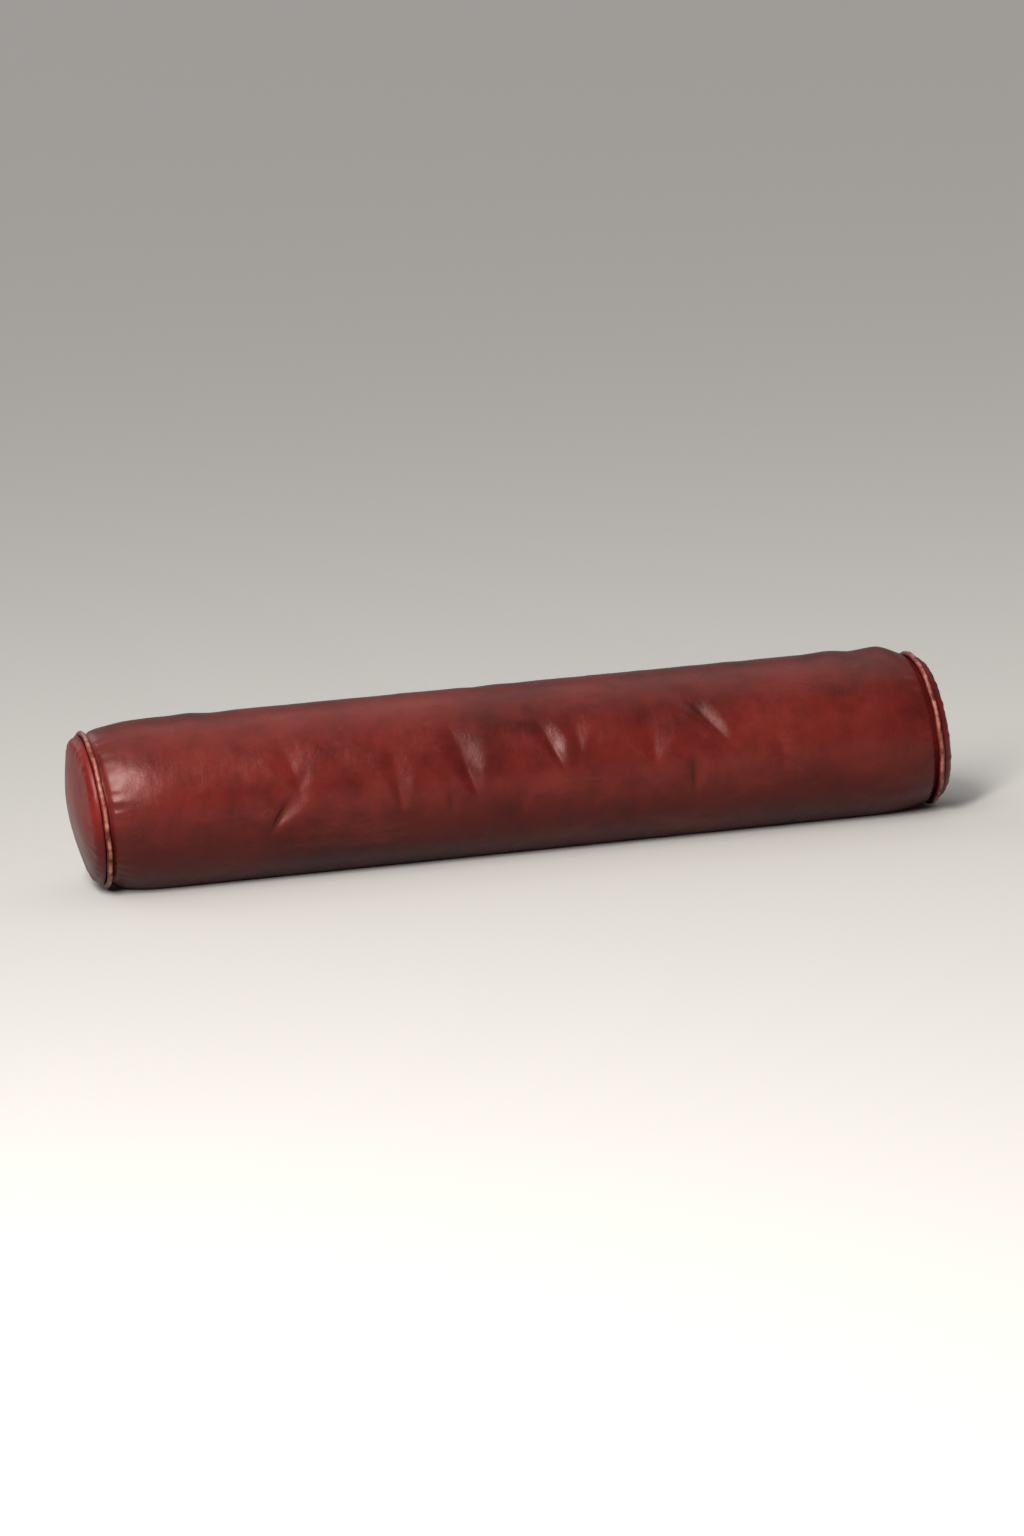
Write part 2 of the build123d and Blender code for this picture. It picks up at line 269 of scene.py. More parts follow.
def simulate_cover():
    """Fills a cover cut fuller than its end seams, and returns how far each point goes, (rows, columns)."""
    along, around = sim_grid()
    x, angle = np.meshgrid(along, around, indexing="ij")
    radius = RADIUS - shoulder_drop(x)
    sewn = at_radius(x, radius, angle)
    waves = small_waves(sewn)
    sewn[..., 1:] += (0.35 * MM * waves)[..., None] * turn(angle)
    near_end = ramp(np.abs(x), BARREL_END - 1.5 * SHOULDER, BARREL_END)
    cut = at_radius(x, radius * (1 + FULLNESS * near_end), angle)
    rows, columns = x.shape
    held = (np.abs(x) >= along[-2]) | (free_of_zip(angle) < 0.1) | (free_of_floor(angle) < 0.02)
    cover, pattern = sewn_cover(sewn, cut)
    fill_with_air(cover, pattern, held)
    moved = settled_points(cover).reshape(rows, columns, 3).astype(float)
    shift = moved - at_radius(x, radius, angle)
    shift = (shift[..., 1:] * turn(angle)).sum(axis=-1)
    loose = ~held
    shift[loose] -= shift[loose].mean()
    return np.clip(np.where(held, 0.0, shift), -MOST_MOVED, MOST_MOVED)


def sewn_cover(sewn, cut):
    """The cover as it is sewn, and the shape key of its fuller cut, which the cloth rests in."""
    points = sewn.reshape(-1, 3).tolist()
    mesh = bpy.data.meshes.new("cover_pattern")
    mesh.from_pydata(points, [], facing_out(points, grid_faces(*sewn.shape[:2])))
    cover = bpy.data.objects.new("cover_pattern", mesh)
    bpy.context.scene.collection.objects.link(cover)
    cover.shape_key_add(name="sewn")
    pattern = cover.shape_key_add(name="cut")
    pattern.data.foreach_set("co", cut.reshape(-1).astype(np.float32))
    pattern.value = 0.0
    return cover, pattern


def fill_with_air(cover, pattern, held):
    """Adds the cloth with its inner pressure. The held points stay where they are."""
    pins = cover.vertex_groups.new(name="held")
    pins.add(np.flatnonzero(held.reshape(-1)).tolist(), 1.0, "REPLACE")
    cloth = cover.modifiers.new("cloth", "CLOTH")
    settings = cloth.settings
    settings.quality = 6
    settings.mass = 0.4
    settings.tension_stiffness = 30
    settings.compression_stiffness = 30
    settings.shear_stiffness = 12
    settings.bending_stiffness = 0.6
    settings.use_pressure = True
    settings.uniform_pressure_force = 4.0
    settings.vertex_group_mass = pins.name
    settings.rest_shape_key = pattern
    settings.effector_weights.gravity = 0.0
    cloth.collision_settings.use_collision = False
    cloth.point_cache.frame_end = SIM_FRAMES


def settled_points(cover):
    """Steps through the frames, and returns the cover's coordinates in a row and removes it."""
    for number in range(1, SIM_FRAMES + 1):
        bpy.context.scene.frame_set(number)
    shape = cover.evaluated_get(bpy.context.evaluated_depsgraph_get()).to_mesh()
    points = np.empty(len(shape.vertices) * 3, np.float32)
    shape.vertices.foreach_get("co", points)
    bpy.context.scene.frame_set(1)
    mesh = cover.data
    bpy.data.objects.remove(cover)
    bpy.data.meshes.remove(mesh)
    return points


def smooth_weights(t):
    """Catmull-Rom weights of four neighbours, at a share of the way between the middle two."""
    return [
        0.5 * (-t ** 3 + 2 * t ** 2 - t),
        0.5 * (3 * t ** 3 - 5 * t ** 2 + 2),
        0.5 * (-3 * t ** 3 + 4 * t ** 2 + t),
        0.5 * (t ** 3 - t ** 2),
    ]


def between(shifts, x, angle):
    """The simulated shift at any places along and round the cover."""
    along, around = sim_grid()
    rows, columns = shifts.shape
    u = np.clip((x - along[0]) / (along[1] - along[0]), 0, rows - 1.001)
    v = (angle % 360.0) / (around[1] - around[0])
    i, j = np.floor(u).astype(int), np.floor(v).astype(int)
    total = np.zeros(u.shape)
    for a, wa in enumerate(smooth_weights(u - i)):
        row = np.clip(i + a - 1, 0, rows - 1)
        for b, wb in enumerate(smooth_weights(v - j)):
            total += wa * wb * shifts[row, (j + b - 1) % columns]
    return total


COVER_SHIFTS = simulate_cover()


def cover_points(x, angle, depth):
    """Points of the filled cover's surface, moved in by depth."""
    x, angle = np.broadcast_arrays(np.asarray(x, float), np.asarray(angle, float))
    ends = ramp(BARREL_END - np.abs(x), 2 * MM, 16 * MM)
    radius = RADIUS - depth - shoulder_drop(x)
    radius = radius + between(COVER_SHIFTS, x, angle) + ends * dents(x, angle) + gathers(x, angle)
    points = at_radius(x, radius, angle)
    points[..., 2] = np.maximum(points[..., 2], depth)
    return points


# Mesh building

def piece_from(name, points, faces, material):
    """A smooth mesh piece with one material, riding on the cover, with all its faces turned to face out."""
    mesh = bpy.data.meshes.new(name)
    mesh.from_pydata([tuple(p) for p in points], [], faces)
    mesh.materials.append(material)
    mesh.shade_smooth()
    mesh.validate()
    mesh.update()
    piece = bpy.data.objects.new(name, mesh)
    bpy.context.scene.collection.objects.link(piece)
    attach(piece, "cover")
    tidy_normals(piece)
    return piece


def grid_normals(points):
    """Unit normals of a tube of points."""
    round_way = np.roll(points, -1, axis=1) - np.roll(points, 1, axis=1)
    along = np.gradient(points, axis=0)
    normals = np.cross(round_way, along)
    normals /= np.maximum(np.linalg.norm(normals, axis=-1, keepdims=True), 1e-12)
    return normals


class Shell:
    """Collects the points and faces of a closed sheet. Its inner side may keep every second point only."""

    def __init__(self, outer, inner, thin=1):
        self.rows, self.columns = outer.shape[:2]
        self.thin = thin
        kept = inner[::thin, ::thin]
        self.inner_columns = kept.shape[1]
        self.points = outer.reshape(-1, 3).tolist() + kept.reshape(-1, 3).tolist()
        self.faces = []

    def outer(self, i, j):
        return i * self.columns + j % self.columns

    def inner(self, i, j):
        row = self.rows * self.columns + i // self.thin * self.inner_columns
        return row + j % self.columns // self.thin

    def skin(self, hole=lambda i, j: False):
        """Both sides of the sheet, less the quads in its hole."""
        for side, step in ((self.outer, 1), (self.inner, self.thin)):
            for i in range(0, self.rows - 1, step):
                for j in range(0, self.columns, step):
                    if hole(i, j):
                        continue
                    quad = (side(i, j), side(i, j + step), side(i + step, j + step), side(i + step, j))
                    self.faces.append(quad if side == self.outer else quad[::-1])

    def close_row(self, i, flip):
        """Joins the two sides along one end of the sheet."""
        for j in range(0, self.columns, self.thin):
            over = [self.outer(i, j + k) for k in range(self.thin + 1)]
            face = (*over, self.inner(i, j + self.thin), self.inner(i, j))
            self.faces.append(face[::-1] if flip else face)

    def cap_row(self, i, pick, flip):
        """Closes one side of the sheet at a row with a fan of triangles."""
        ring = [pick(i, j) for j in range(self.columns)]
        centre = np.mean([self.points[n] for n in ring], axis=0)
        self.points.append(centre.tolist())
        middle = len(self.points) - 1
        for j in range(self.columns):
            tri = (ring[j], ring[(j + 1) % self.columns], middle)
            self.faces.append(tri[::-1] if flip else tri)

    def round_edge(self, loop, directions, steps=4):
        """Rolls the sheet over along a closed loop of grid places, bulging in the given directions."""
        count = len(loop)
        over = [np.array(self.points[self.outer(*place)]) for place in loop]
        under = [np.array(self.points[self.inner(*place)]) for place in loop]
        for n in range(1, count, 2) if self.thin == 2 else ():
            under[n] = (under[n - 1] + under[(n + 1) % count]) / 2
        rings = [[self.outer(*place) for place in loop]]
        for step in range(1, steps):
            t = math.pi * step / steps
            first = len(self.points)
            for top, bottom, way in zip(over, under, directions):
                half = (bottom - top) / 2
                bulge = np.array(way) * np.linalg.norm(half) * math.sin(t)
                self.points.append((top + half * (1 - math.cos(t)) + bulge).tolist())
            rings.append(list(range(first, first + count)))
        for upper, lower in zip(rings, rings[1:]):
            for n in range(count):
                m = (n + 1) % count
                self.faces.append((upper[n], lower[n], lower[m], upper[m]))
        for n in range(0, count, self.thin):
            upper = [rings[-1][(n + k) % count] for k in range(self.thin + 1)]
            ends = (self.inner(*loop[n]), self.inner(*loop[(n + self.thin) % count]))
            self.faces.append((*upper[::-1], *ends))

    def piece(self, name, material):
        """The finished piece."""
        return piece_from(name, self.points, self.faces, material)


def tidy_normals(piece):
    """Drops points that no face uses and turns the faces out."""
    work = bmesh.new()
    work.from_mesh(piece.data)
    bmesh.ops.delete(work, geom=[v for v in work.verts if not v.link_faces], context="VERTS")
    bmesh.ops.recalc_face_normals(work, faces=work.faces)
    work.to_mesh(piece.data)
    work.free()


# Materials

def new_material(name, colour, roughness):
    """A material with its Principled node set to a colour and a roughness."""
    material = bpy.data.materials.new(name)
    material.use_nodes = True
    nodes = material.node_tree.nodes
    shader = nodes["Principled BSDF"]
    shader.inputs["Base Color"].default_value = (*colour, 1)
    shader.inputs["Roughness"].default_value = roughness
    return material, nodes, material.node_tree.links, shader


def object_space(nodes):
    return nodes.new("ShaderNodeTexCoord").outputs["Object"]


def noise_of(nodes, links, where, scale, detail=4.0, roughness=0.55, stretch=(1, 1, 1)):
    """A noise texture's value, stretched along the frame's axes."""
    mapping = nodes.new("ShaderNodeMapping")
    mapping.inputs["Scale"].default_value = stretch
    texture = nodes.new("ShaderNodeTexNoise")
    texture.inputs["Scale"].default_value = scale
    texture.inputs["Detail"].default_value = detail
    texture.inputs["Roughness"].default_value = roughness
    links.new(where, mapping.inputs["Vector"])
    links.new(mapping.outputs["Vector"], texture.inputs["Vector"])
    return texture.outputs["Fac"]


def ramp_of(nodes, links, value, stops):
    """A colour ramp over a value. stops are (place, colour)."""
    node = nodes.new("ShaderNodeValToRGB")
    elements = node.color_ramp.elements
    while len(elements) < len(stops):
        elements.new(0.5)
    for element, (place, colour) in zip(elements, stops):
        element.position = place
        element.color = (*colour, 1)
    links.new(value, node.inputs["Fac"])
    return node.outputs["Color"]


def grey(value):
    return (value, value, value)


def mix_of(nodes, links, factor, a, b, blend="MIX"):
    """A mix of two colours. The factor and either colour may be an output or a plain value."""
    node = nodes.new("ShaderNodeMix")
    node.data_type = "RGBA"
    node.blend_type = blend
    for socket, given in ((node.inputs[0], factor), (node.inputs[6], a), (node.inputs[7], b)):
        if isinstance(given, bpy.types.NodeSocket):
            links.new(given, socket)
        elif isinstance(given, tuple):
            socket.default_value = (*given, 1)
        else:
            socket.default_value = given
    return node.outputs[2]


def maths(nodes, links, operation, a, b=0.0, clamp=False):
    """A Math node on outputs or plain numbers."""
    node = nodes.new("ShaderNodeMath")
    node.operation = operation
    node.use_clamp = clamp
    for socket, given in zip(node.inputs, (a, b)):
        if isinstance(given, bpy.types.NodeSocket):
            links.new(given, socket)
        else:
            socket.default_value = given
    return node.outputs[0]


def bump_of(nodes, links, height, distance, strength, before=None):
    """A Bump node, after an earlier one if there is one."""
    node = nodes.new("ShaderNodeBump")
    node.inputs["Distance"].default_value = distance
    node.inputs["Strength"].default_value = strength
    links.new(height, node.inputs["Height"])
    if before is not None:
        links.new(before, node.inputs["Normal"])
    return node.outputs["Normal"]


def distance_from_axis(nodes, links, where):
    """How far a point of the surface is from the bolster's axis."""
    parts = nodes.new("ShaderNodeSeparateXYZ")
    links.new(where, parts.inputs[0])
    height = maths(nodes, links, "SUBTRACT", parts.outputs["Z"], AXIS_Z)
    squares = maths(nodes, links, "MULTIPLY", parts.outputs["Y"], parts.outputs["Y"])
    upright = maths(nodes, links, "MULTIPLY", height, height)
    return maths(nodes, links, "SQRT", maths(nodes, links, "ADD", squares, upright))


# Painted shade: the colour is multiplied darker towards the underside, and painted light makes it a touch
# browner on top
PAINTED_SHADE_BY_HEIGHT = [(0.10, (0.38, 0.18, 0.18)), (0.27, (0.56, 0.38, 0.38)), (0.50, (1, 1, 1)), (1.0, (1.0, 1.05, 1.0))]


def leather(name, dark, middle, light, roughness=(0.25, 0.36), worn=None):
    """Aniline leather: mottled dye, fine grain, soft wrinkles and a waxed surface."""
    material, nodes, links, shader = new_material(name, middle, 0.42)
    where = object_space(nodes)
    colour = dye_and_painted_shade(nodes, links, where, dark, middle, light)
    if worn is not None:
        wear, wear_colour = worn(nodes, links, where)
        colour = mix_of(nodes, links, wear, colour, wear_colour)
    links.new(colour, shader.inputs["Base Color"])
    finish = noise_of(nodes, links, where, 30.0, 6.0, 0.6)
    low, high = roughness
    gloss = ramp_of(nodes, links, finish, [(0.3, grey(low)), (0.7, grey(high))])
    links.new(gloss, shader.inputs["Roughness"])
    shader.inputs["Specular IOR Level"].default_value = 0.30
    shader.inputs["Specular Tint"].default_value = (1.0, 0.62, 0.57, 1)
    shader.inputs["Coat Weight"].default_value = 0.10
    shader.inputs["Coat Roughness"].default_value = 0.24
    links.new(grained(nodes, links, where), shader.inputs["Normal"])
    return material


def dye_and_painted_shade(nodes, links, where, dark, middle, light):
    """The leather's colour: clouds and patches of dye, painted shade darkening it towards the underside,
    rubbed and scuffed in places.
    """
    clouds = noise_of(nodes, links, where, 11.0, 5.0, 0.6, (0.7, 1, 1))
    patches = noise_of(nodes, links, where, 46.0, 6.0, 0.62)
    colour = ramp_of(nodes, links, clouds, [(0.26, dark), (0.50, middle), (0.80, light)])
    # painted shade by height: darker towards the underside, a touch browner on top
    place = nodes.new("ShaderNodeSeparateXYZ")
    links.new(where, place.inputs[0])
    share = maths(nodes, links, "DIVIDE", place.outputs["Z"], 2 * RADIUS)
    colour = mix_of(nodes, links, 1.0, colour, ramp_of(nodes, links, share, PAINTED_SHADE_BY_HEIGHT), "MULTIPLY")
    spots = ramp_of(nodes, links, patches, [(0.34, grey(0.70)), (0.52, grey(1.0)), (0.72, grey(1.15))])
    colour = mix_of(nodes, links, 0.75, colour, spots, "MULTIPLY")
    rubbed = noise_of(nodes, links, where, 24.0, 8.0, 0.7, (0.35, 1, 1))
    rubbing = ramp_of(nodes, links, rubbed, [(0.56, grey(0)), (0.74, grey(0.5))])
    colour = mix_of(nodes, links, rubbing, colour, light)
    return scuffed(nodes, links, where, colour, light)


def grained(nodes, links, where):
    """The leather's surface: soft wrinkles, pores and the pebbles of its grain."""
    grain = nodes.new("ShaderNodeTexVoronoi")
    grain.feature = "DISTANCE_TO_EDGE"
    grain.inputs["Scale"].default_value = 820.0
    links.new(where, grain.inputs["Vector"])
    pebbles = ramp_of(nodes, links, grain.outputs["Distance"], [(0.0, grey(0)), (0.14, grey(1))])
    pores = noise_of(nodes, links, where, 1500.0, 3.0, 0.6)
    wrinkles = noise_of(nodes, links, where, 62.0, 7.0, 0.62, (1.6, 0.8, 0.8))
    normal = bump_of(nodes, links, wrinkles, 0.0032, 0.18)
    normal = bump_of(nodes, links, pores, 0.00012, 0.25, normal)
    return bump_of(nodes, links, pebbles, 0.00008, 0.35, normal)


def scuffed(nodes, links, where, colour, light):
    """Long fine scuffs where the dye is thin."""
    paths = noise_of(nodes, links, where, 17.0, 3.0, 0.5, (0.8, 1.3, 1.3))
    off = maths(nodes, links, "ABSOLUTE", maths(nodes, links, "SUBTRACT", paths, 0.5))
    line = ramp_of(nodes, links, off, [(0.0, grey(1)), (0.011, grey(0))])
    thin = noise_of(nodes, links, where, 33.0, 4.0, 0.6)
    kept = ramp_of(nodes, links, thin, [(0.50, grey(0)), (0.66, grey(0.34))])
    return mix_of(nodes, links, mix_of(nodes, links, 1.0, line, kept, "MULTIPLY"), colour, light)


def rubbed_crest(nodes, links, where):
    """Where the dye has worn off the top of the piping."""
    from_axis = distance_from_axis(nodes, links, where)
    crest = BEAD_RING + 0.66 * BEAD
    top = maths(nodes, links, "MULTIPLY_ADD", from_axis, 1 / (0.34 * BEAD))
    top.node.inputs[2].default_value = -crest / (0.34 * BEAD)
    top.node.use_clamp = True
    patchy = noise_of(nodes, links, where, 90.0, 5.0, 0.65)
    patchy = ramp_of(nodes, links, patchy, [(0.38, grey(0.05)), (0.62, grey(0.85))])
    return maths(nodes, links, "MULTIPLY", top, patchy, clamp=True), (0.50, 0.205, 0.145)


def woven(name, colour, scale, roughness=0.85, depth=0.0002):
    """A plain weave: two sets of fine ribs, with uneven threads."""
    material, nodes, links, shader = new_material(name, colour, roughness)
    where = object_space(nodes)
    heights = []
    for direction in ("X", "DIAGONAL"):
        ribs = nodes.new("ShaderNodeTexWave")
        ribs.bands_direction = direction
        ribs.inputs["Scale"].default_value = scale
        ribs.inputs["Distortion"].default_value = 0.6
        ribs.inputs["Detail"].default_value = 1.0
        links.new(where, ribs.inputs["Vector"])
        heights.append(ribs.outputs["Fac"])
    weave = maths(nodes, links, "MULTIPLY", *heights)
    uneven = noise_of(nodes, links, where, 160.0, 5.0)
    dark = tuple(0.6 * c for c in colour)
    pale = tuple(min(1.0, 1.15 * c) for c in colour)
    links.new(ramp_of(nodes, links, uneven, [(0.3, dark), (0.65, pale)]), shader.inputs["Base Color"])
    links.new(bump_of(nodes, links, weave, depth, 0.6), shader.inputs["Normal"])
    shader.inputs["Sheen Weight"].default_value = 0.2
    return material


def fibrous(name, colour, scale, depth, pores=False):
    """Loose fibres, or the cells of a foam."""
    material, nodes, links, shader = new_material(name, colour, 0.95)
    where = object_space(nodes)
    if pores:
        cells = nodes.new("ShaderNodeTexVoronoi")
        cells.inputs["Scale"].default_value = scale
        links.new(where, cells.inputs["Vector"])
        height = cells.outputs["Distance"]
    else:
        height = noise_of(nodes, links, where, scale, 8.0, 0.7, (0.3, 1, 1))
    shade = tuple(0.78 * c for c in colour)
    links.new(ramp_of(nodes, links, height, [(0.25, shade), (0.7, colour)]), shader.inputs["Base Color"])
    links.new(bump_of(nodes, links, height, depth, 0.7), shader.inputs["Normal"])
    return material


def old_brass():
    """Zip metal: brass, darker and duller in its hollows, with fine scratches."""
    material, nodes, links, shader = new_material("old_brass", (0.52, 0.36, 0.15), 0.34)
    where = object_space(nodes)
    tarnish = noise_of(nodes, links, where, 260.0, 6.0, 0.65)
    stops = [(0.32, (0.16, 0.10, 0.045)), (0.52, (0.46, 0.31, 0.13)), (0.72, (0.66, 0.49, 0.22))]
    links.new(ramp_of(nodes, links, tarnish, stops), shader.inputs["Base Color"])
    dullness = ramp_of(nodes, links, tarnish, [(0.3, grey(0.52)), (0.7, grey(0.26))])
    links.new(dullness, shader.inputs["Roughness"])
    scratches = noise_of(nodes, links, where, 900.0, 3.0, 0.5, (0.15, 1, 1))
    links.new(bump_of(nodes, links, scratches, 0.00004, 0.5), shader.inputs["Normal"])
    shader.inputs["Metallic"].default_value = 1.0
    return material


def waxed_thread():
    """Waxed sewing thread, with the twist of its plies."""
    material, nodes, links, shader = new_material("waxed_thread", (0.30, 0.09, 0.05), 0.6)
    where = object_space(nodes)
    plies = nodes.new("ShaderNodeTexWave")
    plies.bands_direction = "DIAGONAL"
    plies.inputs["Scale"].default_value = 700.0
    links.new(where, plies.inputs["Vector"])
    stops = [(0.2, (0.16, 0.04, 0.025)), (0.7, (0.42, 0.15, 0.09))]
    links.new(ramp_of(nodes, links, plies.outputs["Fac"], stops), shader.inputs["Base Color"])
    links.new(bump_of(nodes, links, plies.outputs["Fac"], 0.0001, 0.6), shader.inputs["Normal"])
    return material


DARK_RED = (0.038, 0.0040, 0.0035)
RED = (0.104, 0.0092, 0.0070)
BROWN_RED = (0.150, 0.0200, 0.0130)
body_leather = leather("body_leather", DARK_RED, RED, BROWN_RED)
cap_leather = leather(
    "cap_leather", (0.055, 0.0030, 0.0024), (0.130, 0.0050, 0.0034), (0.165, 0.0105, 0.0062), (0.36, 0.50)
)
piping_leather = leather("piping_leather", DARK_RED, RED, BROWN_RED, (0.36, 0.50), rubbed_crest)
brass = old_brass()
thread = waxed_thread()
tape_cloth = woven("tape_cloth", (0.075, 0.014, 0.014), 420.0)
calico = woven("calico", (0.70, 0.64, 0.52), 380.0)
cord_cotton = woven("cord_cotton", (0.72, 0.66, 0.54), 520.0, depth=0.0004)
wadding_fibre = fibrous("wadding_fibre", (0.84, 0.84, 0.81), 320.0, 0.0015)
foam_cells = fibrous("foam_cells", (0.80, 0.72, 0.46), 700.0, 0.0006, pores=True)


# The barrel

ROW_STEP = 2.0 * MM
FINE_STEP = 1.9 * MM
COARSE_STEP = 3.3 * MM
CREASED_FRONT = (35.0, 130.0)
FOLD_STEPS = 5


def fold_rows():
    """(x, radius) down the fold and the flange at the right end, from the fold's start."""
    rows = []
    for step in range(1, FOLD_STEPS + 1):
        t = math.pi / 2 * step / FOLD_STEPS
        rows.append((math.sin(t) * FOLD, (1 - math.cos(t)) * FOLD))
    for share in (0.3, 0.65, 1.0):
        rows.append((FOLD, FOLD + share * (FLANGE - FOLD)))
    return rows


def spaced(stops, steps):
    """Places through all the stops, about a step apart between each two, an even number of gaps each."""
    places = [stops[0]]
    for low, high, step in zip(stops, stops[1:], steps):
        count = 2 * max(1, round((high - low) / step / 2))
        places += [low + (high - low) * (n + 1) / count for n in range(count)]
    return places


def barrel_columns():
    """Angles round the barrel from one lip of the zip mouth to the other, and then across the mouth."""
    lip = math.degrees(math.asin((MOUTH_WIDTH / 2 + LEATHER) / RADIUS))
    turned = ZIP_ANGLE - 360
    stops = [turned + lip, *CREASED_FRONT, ZIP_ANGLE - lip]
    steps = [math.degrees(step / RADIUS) for step in (COARSE_STEP, FINE_STEP, COARSE_STEP)]
    rounds = spaced(stops, steps)
    across = [-2.4, -1.1, -0.45, 0.0, 0.45, 1.1, 2.4]
    return np.array(rounds + [ZIP_ANGLE + a for a in across]), len(rounds) - 1


def closing_groove(x, angle):
    """The line of the closing seam, from each end of the zip mouth to the end seam."""
    beyond = ramp(np.abs(x), MOUTH_HALF, MOUTH_HALF + 6 * MM)
    off = np.abs(away(angle, ZIP_ANGLE))
    return beyond * (1.5 * MM * bump(off, 0.55) + 0.7 * MM * bump(off, 2.6))


def barrel_surface(depth):
    """Rows of points from the left flange to the right one, and each row's place along the barrel."""
    angles, lip_column = barrel_columns()
    end = BARREL_END - FOLD
    lip_x = MOUTH_HALF + LEATHER
    places = spaced([-end, -lip_x, lip_x, end], [ROW_STEP] * 3)
    x, angle = np.meshgrid(places, angles, indexing="ij")
    points = cover_points(x, angle, depth)
    points[..., 1:] -= closing_groove(x, angle)[..., None] * turn(angle)
    left = turned_in(points[0], angles, -1)[::-1]
    right = turned_in(points[-1], angles, 1)
    rows = np.concatenate([np.stack(left), points, np.stack(right)])
    marks = [len(left) + places.index(-lip_x), len(left) + places.index(lip_x)]
    return rows, marks, lip_column


def turned_in(edge, angles, hand):
    """Rows of points from an end of the barrel round its fold and down its flange."""
    rows = []
    for run, drop in fold_rows():
        ring = edge.copy()
        ring[:, 1:] -= drop * turn(angles)
        ring[:, 0] += hand * run
        rows.append(ring)
    return rows


def make_barrel():
    """The wrapped leather sheet, with its zip mouth, hems and turned-in ends."""
    outer, (start, stop), lip_column = barrel_surface(0.0)
    angles, _ = barrel_columns()
    columns = outer.shape[1]
    hem_angle = math.degrees((MOUTH_WIDTH / 2 + HEM) / RADIUS)
    hem = 1 - ramp(np.abs(away(angles, ZIP_ANGLE)), hem_angle - 1.5, hem_angle + 1.5)
    normals = grid_normals(outer)
    toward = np.sign((normals[outer.shape[0] // 2, 0, 1:] * turn(angles[0])).sum())
    inner = outer - toward * normals * (LEATHER * (1 + hem))[None, :, None]
    shell = Shell(outer, inner, thin=2)
    shell.skin(lambda i, j: start <= i < stop and j >= lip_column)
    shell.close_row(0, flip=True)
    shell.close_row(shell.rows - 1, flip=False)
    loop = [(i, lip_column) for i in range(start, stop)]
    loop += [(stop, j) for j in range(lip_column, columns)]
    loop += [(i, 0) for i in range(stop, start, -1)]
    loop += [(start, j) for j in [0, *range(columns - 1, lip_column, -1)]]
    shell.round_edge(loop, [mouth_direction(shell, place, start, stop, lip_column) for place in loop])
    piece = shell.piece("leather_barrel", body_leather)
    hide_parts("leather_body_panel")


def mouth_direction(shell, place, start, stop, lip_column):
    """The way into the mouth from a place on its edge."""
    i, j = place
    along = (1.0 if i == start else 0.0) - (1.0 if i == stop else 0.0)
    out = turn(ZIP_ANGLE)
    round_way = np.array([0.0, -out[1], out[0]])
    edge = np.array(shell.points[shell.outer(i, j)][1:]) - np.array([0.0, AXIS_Z])
    side = -np.sign(np.dot(edge, round_way[1:])) if j in (0, lip_column) else 0.0
    way = np.array([along, 0.0, 0.0]) + side * round_way
    return way / np.linalg.norm(way)


# The filling under the cover

FILLING_ROWS = 150
FILLING_COLUMNS = 120


def filling_layer(name, node, material, depth, inner_depth, end):
    """A closed tube of filling that follows the cover's dents and leaves room for the zip."""
    angles = np.arange(FILLING_COLUMNS) * 360.0 / FILLING_COLUMNS
    places = np.linspace(-end, end, FILLING_ROWS)
    x, angle = np.meshgrid(places, angles, indexing="ij")
    hollow_angle = math.degrees(ZIP_HOLLOW_HALF / RADIUS)
    hollow = 1 - ramp(np.abs(away(angle, ZIP_ANGLE)), hollow_angle, hollow_angle + 2.5)
    extra = hollow * (ZIP_HOLLOW_DEPTH - CASE_DEPTH)
    outer = cover_points(x, angle, depth + extra)
    if inner_depth < CORE_DEPTH / 2:
        inner = cover_points(x, angle, inner_depth + extra)
    else:
        inner = at_radius(x, RADIUS - inner_depth - shoulder_drop(x), angle)
        inner[..., 2] = np.maximum(inner[..., 2], inner_depth)
    shell = Shell(outer, inner)
    shell.skin()
    shell.close_row(0, flip=True)
    shell.close_row(shell.rows - 1, flip=False)
    piece = shell.piece(name, material)
    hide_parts(node)


# The end caps

CAP_COLUMNS = 180


def cap_profile():
    """(x past the cap's start, radius) from the flange's inner edge, round the fold and over the dome."""
    side = 8 * MM
    edge = 9 * MM
    rows = [(0.0, CAP_RADIUS - FLANGE), (0.0, CAP_RADIUS - 0.6 * FLANGE)]
    for step in range(6):
        t = math.pi / 2 * step / 5
        rows.append((FOLD * (1 - math.cos(t)), CAP_RADIUS - FOLD + FOLD * math.sin(t)))
    rise = CAP_TIP - CAP_START - side
    dome = (rise ** 2 + CAP_RADIUS ** 2) / (2 * rise)
    centre = CAP_TIP - CAP_START - dome
    # the rounded edge between the side wall and the dome
    corner_radius = CAP_RADIUS - edge
    corner_x = centre + math.sqrt((dome - edge) ** 2 - corner_radius ** 2)
    meets = math.asin(corner_radius / (dome - edge))
    turns = 9
    for step in range(turns + 1):
        t = meets + (math.pi / 2 - meets) * (1 - step / turns)
        rows.append((corner_x + edge * math.cos(t), corner_radius + edge * math.sin(t)))
    over = 22
    for step in range(1, over + 1):
        t = meets * (1 - step / over) + 0.004 * step / over
        rows.append((centre + dome * math.cos(t), dome * math.sin(t)))
    return rows


